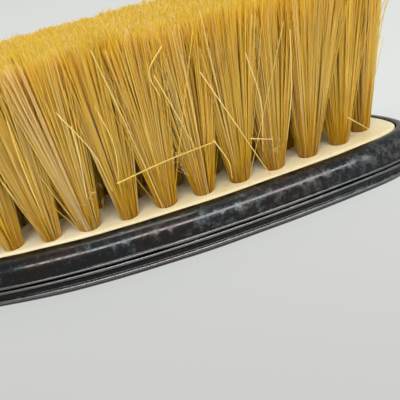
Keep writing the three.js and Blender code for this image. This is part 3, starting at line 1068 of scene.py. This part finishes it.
# The camera's place and its turns in radians, which a scratch program fitted to the photo.
CAMERA_PLACE = (67.41, -75.76, 28.25)
CAMERA_YAW = -0.421
CAMERA_PITCH = 0.432
CAMERA_ROLL = -0.259
FOCAL_RATIO = 1.264675
SENSOR = 36
WORLD_COLOUR = (0.98, 1.0, 0.98, 1)
WORLD_STRENGTH = 0.45
# Each softbox: name, place and aim in metres, length and width in metres, and power in watts.
SOFTBOXES = [
    ("overhead", (-0.75, -0.05, 0.60), (-0.75, -0.05, 0.0), (1.9, 0.10), 4.2),
    ("front", (0.38, -0.52, 0.56), (0.07, -0.02, 0.015), (1.1, 0.15), 7.1),
]


def build_camera():
    """A camera turned by yaw, then pitched down, then rolled, from level and facing +Y."""
    data = bpy.data.cameras.new("camera")
    data.sensor_width = SENSOR
    data.lens = SENSOR * FOCAL_RATIO
    data.clip_start = 0.005
    data.clip_end = 20
    camera = bpy.data.objects.new("camera", data)
    bpy.context.scene.collection.objects.link(camera)
    yaw, pitch, roll = CAMERA_YAW, CAMERA_PITCH, CAMERA_ROLL
    ahead = Vector((math.sin(yaw) * math.cos(pitch), math.cos(yaw) * math.cos(pitch), -math.sin(pitch)))
    level_right = Vector((math.cos(yaw), -math.sin(yaw), 0))
    level_up = level_right.cross(ahead)
    right = math.cos(roll) * level_right + math.sin(roll) * level_up
    up = -math.sin(roll) * level_right + math.cos(roll) * level_up
    turn = Matrix((right, up, -ahead)).transposed()
    camera.matrix_world = Matrix.Translation(Vector(place([CAMERA_PLACE])[0])) @ turn.to_4x4()
    bpy.context.scene.camera = camera


def area_light(name, place_at, aim, size, power):
    data = bpy.data.lights.new(name, "AREA")
    data.shape = "RECTANGLE"
    data.size, data.size_y = size
    data.energy = power
    light = bpy.data.objects.new(name, data)
    light.location = place_at
    light.visible_camera = False
    light.rotation_euler = (Vector(aim) - Vector(place_at)).to_track_quat("-Z", "Y").to_euler()
    bpy.context.scene.collection.objects.link(light)


def floor_material():
    """Pale paper, mostly glowing so that the brush throws only a faint shadow on it."""
    nodes = Nodes("pale_floor")
    split = nodes.add("ShaderNodeSeparateXYZ")
    nodes.link(nodes.where, split.inputs[0])
    far = nodes.spread(split.outputs["Y"], -0.05, 0.45, 0, 1)
    # Painted light: the glow is dimmer in front of the brush, brightest a little behind it and a little
    # lower far off, like uneven studio light.
    glow = nodes.ramp(far, [
        (0.0, (0.555, 0.565, 0.55)),
        (0.06, (0.61, 0.62, 0.60)),
        (0.11, (0.65, 0.66, 0.64)),
        (0.19, (0.73, 0.745, 0.725)),
        (0.34, (0.71, 0.725, 0.705)),
        (1.0, (0.665, 0.68, 0.66)),
    ])
    nodes.drive("Emission Color", glow)
    nodes.set(Base_Color=(0.03, 0.03, 0.03, 1), Roughness=0.9)
    nodes.set(Specular_IOR_Level=0.1, Emission_Strength=1.0)
    return nodes.material


# The paper's section: distance from the middle and height, in metres, rising to a wall all round.
PAPER = [
    (0.0, 0.0),
    (1.0, 0.0),
    (4.5, 0.0),
    (5.4, 0.12),
    (6.0, 0.55),
    (6.3, 1.2),
    (6.4, 2.0),
    (6.4, 4.5),
]
PAPER_SIDES = 96
PAPER_WELD = 1e-5


def paper_mesh():
    """A round sheet of paper whose rim curves up, so that no horizon shows."""
    points = []
    for reach, height in PAPER:
        for i in range(PAPER_SIDES):
            angle = 2 * math.pi * i / PAPER_SIDES
            points.append((reach * math.cos(angle), reach * math.sin(angle), height))
    faces = []
    for low in range(len(PAPER) - 1):
        quads = quads_between(low, low + 1, PAPER_SIDES)
        faces.extend(quads[:, [0, 3, 2, 1]].tolist())
    mesh = bpy.data.meshes.new("floor")
    mesh.from_pydata(points, [], faces)
    weld(mesh, PAPER_WELD)
    mesh.shade_smooth()
    return mesh


def build_studio():
    """World light, softboxes and paper, with colours shown as they are."""
    bpy.context.scene.view_settings.view_transform = "Standard"
    world = bpy.data.worlds.new("studio")
    world.use_nodes = True
    background = world.node_tree.nodes["Background"]
    background.inputs["Color"].default_value = WORLD_COLOUR
    background.inputs["Strength"].default_value = WORLD_STRENGTH
    bpy.context.scene.world = world
    for softbox in SOFTBOXES:
        area_light(*softbox)
    floor = bpy.data.objects.new("floor", paper_mesh())
    bpy.context.scene.collection.objects.link(floor)
    floor.data.materials.append(floor_material())


build_camera()
build_silver()
build_plate()
build_bristles()
dress_cad_nodes()
build_studio()
